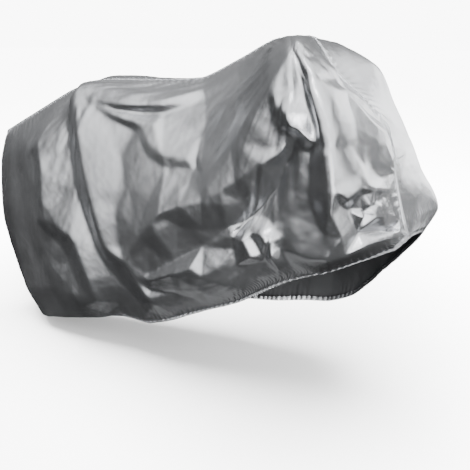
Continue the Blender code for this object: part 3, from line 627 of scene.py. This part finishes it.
def surface_object(name, points, hand, layers):
    """A grid of points as a mesh, with a UV map in metres and its layers."""
    columns, rows = points.shape[:2]
    index = np.arange(columns * rows).reshape(columns, rows)
    corners = np.stack((index[:-1, :-1], index[1:, :-1], index[1:, 1:], index[:-1, 1:]), axis=-1)
    faces = corners.reshape(-1, 4)
    if hand < 0:
        faces = faces[:, ::-1]
    obj = mesh_object(name, points.reshape(-1, 3), faces)
    mesh = obj.data
    flat = np.stack(run_lengths(points)[:2], axis=-1).reshape(-1, 2)
    uv = mesh.uv_layers.new(name="cloth")
    uv.data.foreach_set("uv", flat[faces.reshape(-1)].reshape(-1).astype(np.float32))
    for layer, values in layers.items():
        attribute = mesh.attributes.new(layer, "FLOAT", "POINT")
        attribute.data.foreach_set("value", values.reshape(-1).astype(np.float32))
    return obj


def seam_line(points, hand, away):
    """Places and normals at one distance from the seam: up the tail, over the top, down the front."""
    from_tail, from_top, to_front, _ = run_lengths(points)
    both = np.concatenate((points, outward(points, hand)), axis=-1)

    def crossing(distances, lines):
        number = np.arange(len(lines))
        cell = np.maximum(np.argmax(distances >= away, axis=1), 1)
        low, high = distances[number, cell - 1], distances[number, cell]
        w = np.clip((away - low) / (high - low), 0.0, 1.0)[:, None]
        return (1.0 - w) * lines[number, cell - 1] + w * lines[number, cell]

    turned = both.swapaxes(0, 1)
    tail = crossing(from_tail.T, turned)[from_top[0] > away][::-1]
    top = crossing(from_top, both)[(from_tail[:, 0] > away) & (to_front[:, 0] > away)]
    front = crossing(to_front.T[:, ::-1], turned[:, ::-1])[from_top[-1] > away]
    return np.concatenate((tail, top, front))


def stitch_row(name, line, sizes):
    """Stitches along a line, each a thread that rises out of the cloth and dips back into it.

    A stitch has five rings of six points. Ring t, from -1 to 1, stands radius * (1.1 - 1.6 t^2)
    above the cloth and is (1 - 0.7 t^4) of the thread's radius.
    """
    length = np.concatenate(([0.0], np.cumsum(np.linalg.norm(np.diff(line[:, :3], axis=0), axis=1))))
    pitch = sizes.stitch_pitch
    middle = np.arange(pitch, length[-1] - pitch, pitch)
    t = np.array((-1.0, -0.6, 0.0, 0.6, 1.0))
    place = middle[:, None] + 0.5 * sizes.stitch_length * t
    spots = np.stack([np.interp(place, length, line[:, axis]) for axis in range(6)], axis=-1)
    centre, normal = spots[..., :3], spots[..., 3:]
    normal = normal / np.linalg.norm(normal, axis=-1, keepdims=True)
    along = centre[:, -1:] - centre[:, :1]
    side = np.cross(along, normal)
    side /= np.linalg.norm(side, axis=-1, keepdims=True)
    centre = centre + normal * (sizes.stitch_radius * (1.1 - 1.6 * t**2))[:, None]
    angle = np.arange(6) * (math.pi / 3.0)
    ring = np.cos(angle)[:, None] * side[..., None, :] + np.sin(angle)[:, None] * normal[..., None, :]
    size = sizes.stitch_radius * (1.0 - 0.7 * t**4)
    points = centre[..., None, :] + ring * size[:, None, None]
    index = np.arange(30).reshape(5, 6)
    after = np.roll(index, -1, axis=1)
    walls = np.stack((index[:-1], index[1:], after[1:], after[:-1]), axis=-1).reshape(-1, 4)
    ends = np.array(((0, 1, 2, 3), (0, 3, 4, 5), (27, 26, 25, 24), (29, 28, 27, 24)))
    faces = np.concatenate((walls, ends))
    faces = faces[None] + 30 * np.arange(len(middle))[:, None, None]
    return mesh_object(name, points.reshape(-1, 3), faces.reshape(-1, 4))


# ---------------------------------------------------------------- shader maths
def joined(operation, swapped=False):
    """A method that joins a wire and another value by a math node, in this order or swapped."""

    def method(self, other):
        values = [other, self] if swapped else [self, other]
        return self.maker.node("ShaderNodeMath", {"operation": operation}, values)

    return method


class Wire:
    """A shader socket that adds, subtracts, multiplies, divides and takes powers like a number."""

    __add__, __radd__ = joined("ADD"), joined("ADD", True)
    __sub__, __rsub__ = joined("SUBTRACT"), joined("SUBTRACT", True)
    __mul__, __truediv__ = joined("MULTIPLY"), joined("DIVIDE")
    __rpow__ = joined("POWER", True)

    def __init__(self, maker, socket):
        self.maker = maker
        self.socket = socket

    def __abs__(self):
        return self.maker.node("ShaderNodeMath", {"operation": "ABSOLUTE"}, [self])

    def sin(self):
        return self.maker.node("ShaderNodeMath", {"operation": "SINE"}, [self])

    def limited(self):
        """The value kept between 0 and 1."""
        return self.maker.node("ShaderNodeClamp", {}, [self])


class ShaderMaker:
    """Builds the nodes of a material or a world from plain expressions."""

    def __init__(self, owner, last="Principled BSDF"):
        owner.use_nodes = True
        self.tree = owner.node_tree
        self.last = self.tree.nodes[last]

    def node(self, kind, settings=None, inputs=None, output=0):
        """Adds a node, sets its settings first, then its sockets by position or name."""
        node = self.tree.nodes.new(kind)
        for key, value in (settings or {}).items():
            setattr(node, key, value)
        pairs = inputs.items() if isinstance(inputs, dict) else enumerate(inputs or ())
        for key, value in pairs:
            self.feed(node.inputs[key], value)
        return Wire(self, node.outputs[output])

    def feed(self, socket, value):
        """Links a wire to a socket, or sets the socket to a plain value."""
        if isinstance(value, Wire):
            self.tree.links.new(value.socket, socket)
        else:
            socket.default_value = value

    def put(self, name, value):
        """Feeds a socket of the last node."""
        self.feed(self.last.inputs[name], value)

    def layer(self, name):
        """A per-point number of the mesh."""
        return self.node("ShaderNodeAttribute", {"attribute_name": name}, output="Fac")

    def noise(self, place, scale, detail, roughness=0.5):
        """Cloudy noise from 0 to 1."""
        inputs = {"Vector": place, "Scale": scale, "Detail": detail, "Roughness": roughness}
        return self.node("ShaderNodeTexNoise", {}, inputs)

    def map_range(self, value, start, end, kind="SMOOTHSTEP"):
        """The value on a scale that is 0 at start and 1 at end."""
        inputs = {"Value": value, "From Min": start, "From Max": end}
        return self.node("ShaderNodeMapRange", {"interpolation_type": kind}, inputs)

    def mix_colour(self, factor, first, second):
        """Mixes two colours, each a wire or three numbers."""
        first, second = (c if isinstance(c, Wire) else (*c, 1.0) for c in (first, second))
        inputs = {"Factor": factor, 6: first, 7: second}
        return self.node("ShaderNodeMix", {"data_type": "RGBA"}, inputs, output=2)


def new_material(name, colour):
    """A material with its shown colour, its node maker and the place on the object."""
    material = bpy.data.materials.new(name)
    material.diffuse_color = (*colour, 1.0)
    make = ShaderMaker(material)
    return material, make, make.node("ShaderNodeTexCoord", output="Object")


def silver_cloth(name, finish, sizes):
    """Silver coated taffeta: a metallic film, faint mottling, a fine weave and small creases."""
    material, make, place = new_material(name, finish.silver_colour)
    cloth = make.node("ShaderNodeUVMap", {"uv_map": "cloth"})
    mottle = make.noise(place, 9.0, 4.0, 0.6)
    grain = make.noise(place, 420.0, 2.0, 0.6)
    wrinkle = make.node("ShaderNodeTexVoronoi", {"feature": "F1"}, {"Vector": place, "Scale": 46.0})
    warp = make.node("ShaderNodeSeparateXYZ", {}, {"Vector": cloth})
    weft = Wire(make, warp.socket.node.outputs[1])
    turns = 2.0 * math.pi / finish.weave_pitch
    weave = (warp * turns).sin() * (weft * turns).sin()
    groove = 1.0 - (abs(make.layer("seam_distance") - sizes.stitch_inset) / finish.groove_width).limited()
    ripple = (warp * (2.0 * math.pi / finish.ruffle_pitch) + (mottle - 0.5) * 26.0).sin()

    coating = make.mix_colour(mottle, finish.shade_colour, finish.silver_colour)
    make.put("Base Color", make.mix_colour(groove * 0.35, coating, finish.thread_colour))
    make.put("Metallic", finish.metallic)
    make.put("Roughness", finish.roughness + (mottle - 0.5) * 0.14 + (grain - 0.5) * 0.10)
    relief = ripple * make.layer("hem_share") * finish.ruffle_height + weave * finish.weave_height
    relief += (grain - 0.5) * finish.grain_height + wrinkle * finish.wrinkle_height
    relief -= groove * finish.groove_depth
    inputs = {"Strength": 0.6, "Distance": 1.0, "Height": relief}
    make.put("Normal", make.node("ShaderNodeBump", {}, inputs, output="Normal"))
    return material


def inner_cloth(name, finish):
    """The uncoated face of the taffeta: dull dark grey, mottled; its near-black colour is partly the face's
    own grey and partly painted shade for the shadowed inside of the cover.
    """
    material, make, place = new_material(name, finish.inner_face_and_shade_colour)
    mottle = make.noise(place, 30.0, 3.0)
    pale = tuple(c * 1.4 for c in finish.inner_face_and_shade_colour)
    make.put("Base Color", make.mix_colour(mottle, finish.inner_face_and_shade_colour, pale))
    make.put("Roughness", 0.75 + (mottle - 0.5) * 0.2)
    return material


def thread_finish(name, finish):
    """Polyester sewing thread: pale, a little shiny, twisted."""
    material, make, place = new_material(name, finish.thread_colour)
    twist = make.noise(place, 900.0, 1.0)
    pale = tuple(min(1.0, c * 1.25) for c in finish.thread_colour)
    make.put("Base Color", make.mix_colour(twist, finish.thread_colour, pale))
    make.put("Roughness", 0.45 + (twist - 0.5) * 0.3)
    return material


def floor_paper(name, stage):
    """White paper that gives off light from some way out, so that it has no far edge."""
    near_glow, far_glow = 0.7, 2.0
    material, make, place = new_material(name, stage.floor_colour)
    tint = tuple(c * 0.985 for c in stage.floor_colour)
    make.put("Base Color", make.mix_colour(make.noise(place, 60.0, 3.0), tint, stage.floor_colour))
    make.put("Roughness", 0.9)
    away = make.node("ShaderNodeVectorMath", {"operation": "LENGTH"}, {0: place}, output="Value")
    glow = make.map_range(away, near_glow, far_glow)
    make.put("Emission Color", make.mix_colour(glow, (0.0, 0.0, 0.0), (1.0, 1.0, 1.0)))
    make.put("Emission Strength", stage.floor_glow)
    return material


# ---------------------------------------------------------------- settings
def metres(name, description, default):
    """A property for a size in metres."""
    return FloatProperty(name=name, description=description, default=default, unit="LENGTH")


def watts(name, description, default):
    """A property for the power of a light."""
    return FloatProperty(name=name, description=description, default=default, unit="POWER")


def colour(name, description, default):
    """A property for a colour."""
    return FloatVectorProperty(
        name=name, description=description, default=default, subtype="COLOR", min=0.0, max=1.0
    )


class CoverSizes(PropertyGroup):
    """Sizes of the cloth and of its details."""

    columns: IntProperty(name="Columns", description="Grid cells along a panel", default=325, min=40)
    rows: IntProperty(name="Rows", description="Grid cells down a panel", default=140, min=20)
    fold_softening: IntProperty(
        name="Fold softening", description="How often the creases are smoothed", default=1, min=0
    )
    seam_gap: metres("Seam gap", "Between the two panels", 0.0004)
    seam_spring: metres("Seam spring", "How far a panel springs away beside the seam", 0.004)
    pucker_height: metres("Pucker height", "Height of the ripples along the seam", 0.0034)
    pucker_pitch: metres("Pucker pitch", "Distance between two ripples", 0.019)
    pucker_reach: metres("Pucker reach", "How far the ripples reach from the seam", 0.028)
    gather_height: metres("Gather height", "Height of the folds at the hem", 0.0046)
    gather_pitch: metres("Gather pitch", "Distance between two folds at the hem", 0.017)
    gather_reach: metres("Gather reach", "How far the folds reach up from the hem", 0.022)
    crinkle_height: metres("Crinkle height", "Height of the small creases all over", 0.0034)
    hem_radius: metres("Hem radius", "Radius of the rolled edge", 0.0025)
    hem_turn: metres("Hem turn-up", "Height of the cloth turned up inside", 0.014)
    thickness: metres("Thickness", "Between the two faces of the cloth", 0.0010)
    stitch_length: metres("Stitch length", "Length of one stitch", 0.0032)
    stitch_pitch: metres("Stitch pitch", "Distance between two stitches", 0.0045)
    stitch_inset: metres("Stitch inset", "From the seam to the stitches", 0.0085)
    stitch_radius: metres("Thread radius", "Half the thickness of the thread", 0.00035)


class CoverFinish(PropertyGroup):
    """Colours and gloss of the cloth."""

    silver_colour: colour("Silver", "Main colour of the coating", (0.60, 0.61, 0.63))
    shade_colour: colour("Shade", "Duller colour that mottles the coating", (0.50, 0.51, 0.53))
    # Inner face: partly the uncoated face's own dark grey, partly painted shade that keeps the inside of the
    # hem near black.
    inner_face_and_shade_colour: colour("Inner face", "Colour of the uncoated face", (0.030, 0.031, 0.033))
    thread_colour: colour("Thread", "Colour of the sewing thread", (0.46, 0.47, 0.49))
    metallic: FloatProperty(name="Metallic", description="How metallic the coating is", default=0.95)
    roughness: FloatProperty(name="Roughness", description="Mean roughness of the coating", default=0.22)
    weave_pitch: metres("Weave pitch", "Distance between two threads", 0.0012)
    weave_height: metres("Weave height", "Relief of the weave", 0.00004)
    grain_height: metres("Grain height", "Relief of the coating", 0.0001)
    wrinkle_height: metres("Wrinkle height", "Relief of the finest creases", 0.0007)
    ruffle_pitch: metres("Ruffle pitch", "Between the finest ripples at the hem", 0.0085)
    ruffle_height: metres("Ruffle height", "Relief of the finest ripples at the hem", 0.0022)
    groove_width: metres("Groove width", "Half the width of the groove under the stitches", 0.0016)
    groove_depth: metres("Groove depth", "Depth of the groove under the stitches", 0.0008)


class CoverStage(PropertyGroup):
    """The floor, the lights and the camera."""

    floor_height: metres("Floor height", "Height of the floor", -0.060)
    floor_colour: colour("Floor", "Colour of the floor", (0.93, 0.93, 0.93))
    floor_glow: FloatProperty(name="Floor glow", description="Light that the floor gives off", default=8.0)
    top_power: watts("Top light", "Light above", 1500)
    key_power: watts("Key light", "Light at the front", 70)
    side_power: watts("Side light", "Light behind", 30)
    low_power: watts("Low light", "Light near the floor", 7)
    room_lean: FloatVectorProperty(
        name="Room lean", description="Where the room is lightest", default=(0.80, -0.50, 0.33)
    )
    room_turn: FloatProperty(name="Room turn", description="Lean at which it is middling", default=-0.06)
    room_low: FloatProperty(name="Room low", description="Light from the room's dark side", default=0.022)
    room_middle: FloatProperty(name="Room middle", description="Light at the turn", default=1.6)
    room_high: FloatProperty(name="Room high", description="Light from the room's bright side", default=2.6)
    room_even: FloatProperty(name="Room even", description="Light from all round", default=0.020)
    room_ground: FloatProperty(name="Room ground", description="Light from below", default=0.26)
    backdrop: FloatProperty(name="Backdrop", description="Brightness of what is seen behind", default=9.0)
    lens: FloatProperty(name="Lens", description="Focal length of the camera in mm", default=LENS)


# ---------------------------------------------------------------- the pieces
def dress_panel(context, side):
    """Builds one panel of cloth and its stitches, and puts the cloth in the place of its solid."""
    sizes, finish = context.scene.cover_sizes, context.scene.cover_finish
    points, hand = panel_surface(side, sizes)
    from_tail, from_top, to_front, to_hem = run_lengths(points)
    seam = np.minimum(np.minimum(from_tail, to_front), from_top)
    shares = np.array(RIGHT_GATHERS if side == "right" else LEFT_GATHERS)
    hem = np.exp(-to_hem / sizes.gather_reach) * np.interp(from_tail / from_tail.max(), *shares.T)
    grid = hem_roll(points, hand, sizes.hem_radius, sizes.hem_turn)
    extra = grid.shape[1] - points.shape[1]
    seam = np.hstack((seam, np.repeat(seam[:, -1:], extra, axis=1)))
    hem = np.hstack((hem, np.repeat(0.2 * hem[:, -1:], extra, axis=1)))
    cloth = surface_object(side + "_cloth", grid, hand, {"seam_distance": seam, "hem_share": hem})
    cloth.data.materials.append(silver_cloth(side + "_silver", finish, sizes))
    # The inner face's dark colour is partly painted shade.
    cloth.data.materials.append(inner_cloth(side + "_inner_face", finish))
    shell = cloth.modifiers.new("thickness", "SOLIDIFY")
    shell.thickness = sizes.thickness
    shell.offset = -1.0
    shell.material_offset = 1
    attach(cloth, "root")
    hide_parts(side + "_panel")
    stitches = stitch_row(side + "_stitches", seam_line(points, hand, sizes.stitch_inset), sizes)
    stitches.data.materials.append(thread_finish(side + "_thread", finish))
    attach(stitches, "root")


class COVER_OT_right_cloth(Operator):
    """Drape the right panel"""

    bl_idname = "cover.right_cloth"
    bl_label = "Right panel"

    def execute(self, context):
        dress_panel(context, "right")
        return {"FINISHED"}


class COVER_OT_left_cloth(Operator):
    """Drape the left panel"""

    bl_idname = "cover.left_cloth"
    bl_label = "Left panel"

    def execute(self, context):
        dress_panel(context, "left")
        return {"FINISHED"}


# Square soft lights, each with what it is turned to, and whether the cloth mirrors it. The stage
# holds the power of each.
#    light  place            target             size  mirrored
LIGHTS = (
    ("key", (2.0, -2.4, 2.7), (0.1, 0.0, 0.5), 1.7, True),
    ("top", (0.3, -0.4, 4.0), (0.3, 0.0, 0.0), 3.0, False),
    ("low", (1.3, -1.5, 0.05), (0.2, -0.15, 0.3), 0.8, True),
    ("side", (2.0, 2.8, 1.2), (0.6, 0.0, 0.7), 1.6, True),
)

# Directions in which the room is dark. Each darkens from the first cosine to the second, down to
# its share of the light.
#     direction           from  to    share
ROOM_SCREENS = (
    ((-0.10, 0.00, -1.00), 0.18, 0.62, 0.040),
    ((0.84, 0.54, 0.04), 0.84, 0.95, 0.12),
    ((-0.06, 0.99, 0.13), 0.91, 0.985, 0.38),
)
# The cosines to the lightest direction at which the room is darkest and lightest.
ROOM_ENDS = (-0.80, 0.55)
# Where the floor shows in the cloth as a light spot.
GROUND_SPOT = ((-0.25, 0.05, -0.97), 0.90, 0.98)


def area_light(name, place, target, size, power, mirrored):
    """A square soft light at place, turned to target."""
    light = bpy.data.lights.new(name, "AREA")
    light.shape = "SQUARE"
    light.size = size
    light.energy = power
    obj = bpy.data.objects.new(name, light)
    turn = (Vector(place) - Vector(target)).to_track_quat("Z", "Y").to_matrix().to_4x4()
    obj.matrix_world = Matrix.Translation(place) @ turn
    obj.visible_glossy = mirrored
    bpy.context.scene.collection.objects.link(obj)


def studio_world(stage):
    """The room: white to look at, and for its light a soft tent that is dark where screens stand."""
    world = bpy.data.worlds.new("studio")
    bpy.context.scene.world = world
    make = ShaderMaker(world, "Background")
    seen = make.node("ShaderNodeLightPath", output="Is Camera Ray")
    way = make.node("ShaderNodeTexCoord", output="Generated")

    def share(direction, start, end, kind="SMOOTHSTEP"):
        """How far a direction lies towards another: 0 at start and 1 at end, both cosines."""
        lean = make.node("ShaderNodeVectorMath", {"operation": "DOT_PRODUCT"}, [way, direction], "Value")
        return make.map_range(lean, start, end, kind)

    darkest, lightest = ROOM_ENDS
    lower = share(stage.room_lean, darkest, stage.room_turn, "LINEAR")
    upper = share(stage.room_lean, stage.room_turn, lightest, "LINEAR")
    room = (stage.room_middle / stage.room_low) ** lower * stage.room_low
    room *= (stage.room_high / stage.room_middle) ** upper
    for direction, start, end, left in ROOM_SCREENS:
        room *= left ** share(direction, start, end)
    room += share(*GROUND_SPOT) * stage.room_ground + stage.room_even
    inputs = {0: seen, 2: room, 3: stage.backdrop}
    make.put("Strength", make.node("ShaderNodeMix", {"data_type": "FLOAT"}, inputs))
    make.put("Color", (1.0, 1.0, 1.0, 1.0))


class COVER_OT_stage(Operator):
    """Set up the floor, the lights and the camera"""

    bl_idname = "cover.stage"
    bl_label = "Stage"

    def execute(self, context):
        stage = context.scene.cover_stage
        reach = 60.0
        corners = ((-reach, -reach), (reach, -reach), (reach, reach), (-reach, reach))
        mesh = bpy.data.meshes.new("floor")
        mesh.from_pydata([(x, y, stage.floor_height) for x, y in corners], [], [(0, 1, 2, 3)])
        mesh.materials.append(floor_paper("floor_paper", stage))
        floor = bpy.data.objects.new("floor", mesh)
        floor.visible_diffuse = False
        floor.visible_glossy = False
        context.scene.collection.objects.link(floor)

        studio_world(stage)
        for name, place, target, size, mirrored in LIGHTS:
            area_light(name + "_light", place, target, size, getattr(stage, name + "_power"), mirrored)

        camera = bpy.data.cameras.new("camera")
        camera.lens = stage.lens
        camera.sensor_width = SENSOR
        camera.clip_end = 200.0
        view = bpy.data.objects.new("camera", camera)
        view.matrix_world = Matrix.Translation(CAMERA_PLACE) @ CAMERA_TURN.to_4x4()
        context.scene.collection.objects.link(view)
        context.scene.camera = view
        return {"FINISHED"}


class COVER_PT_sidebar(Panel):
    """The cover's sizes, finish and pieces"""

    bl_label = "Cover"
    bl_idname = "COVER_PT_sidebar"
    bl_space_type = "VIEW_3D"
    bl_region_type = "UI"
    bl_category = "Cover"

    def draw(self, context):
        layout = self.layout
        for group in (context.scene.cover_sizes, context.scene.cover_finish, context.scene.cover_stage):
            box = layout.box()
            for key in group.__annotations__:
                box.prop(group, key)
        for operator in OPERATORS:
            layout.operator(operator.bl_idname)


OPERATORS = (COVER_OT_right_cloth, COVER_OT_left_cloth, COVER_OT_stage)
CLASSES = (CoverSizes, CoverFinish, CoverStage, *OPERATORS, COVER_PT_sidebar)


def register():
    for cls in CLASSES:
        bpy.utils.register_class(cls)
    bpy.types.Scene.cover_sizes = PointerProperty(type=CoverSizes)
    bpy.types.Scene.cover_finish = PointerProperty(type=CoverFinish)
    bpy.types.Scene.cover_stage = PointerProperty(type=CoverStage)


def unregister():
    del bpy.types.Scene.cover_stage
    del bpy.types.Scene.cover_finish
    del bpy.types.Scene.cover_sizes
    for cls in reversed(CLASSES):
        bpy.utils.unregister_class(cls)


def main():
    register()
    bpy.ops.cover.right_cloth()
    bpy.ops.cover.left_cloth()
    bpy.ops.cover.stage()


if __name__ == "__main__":
    main()
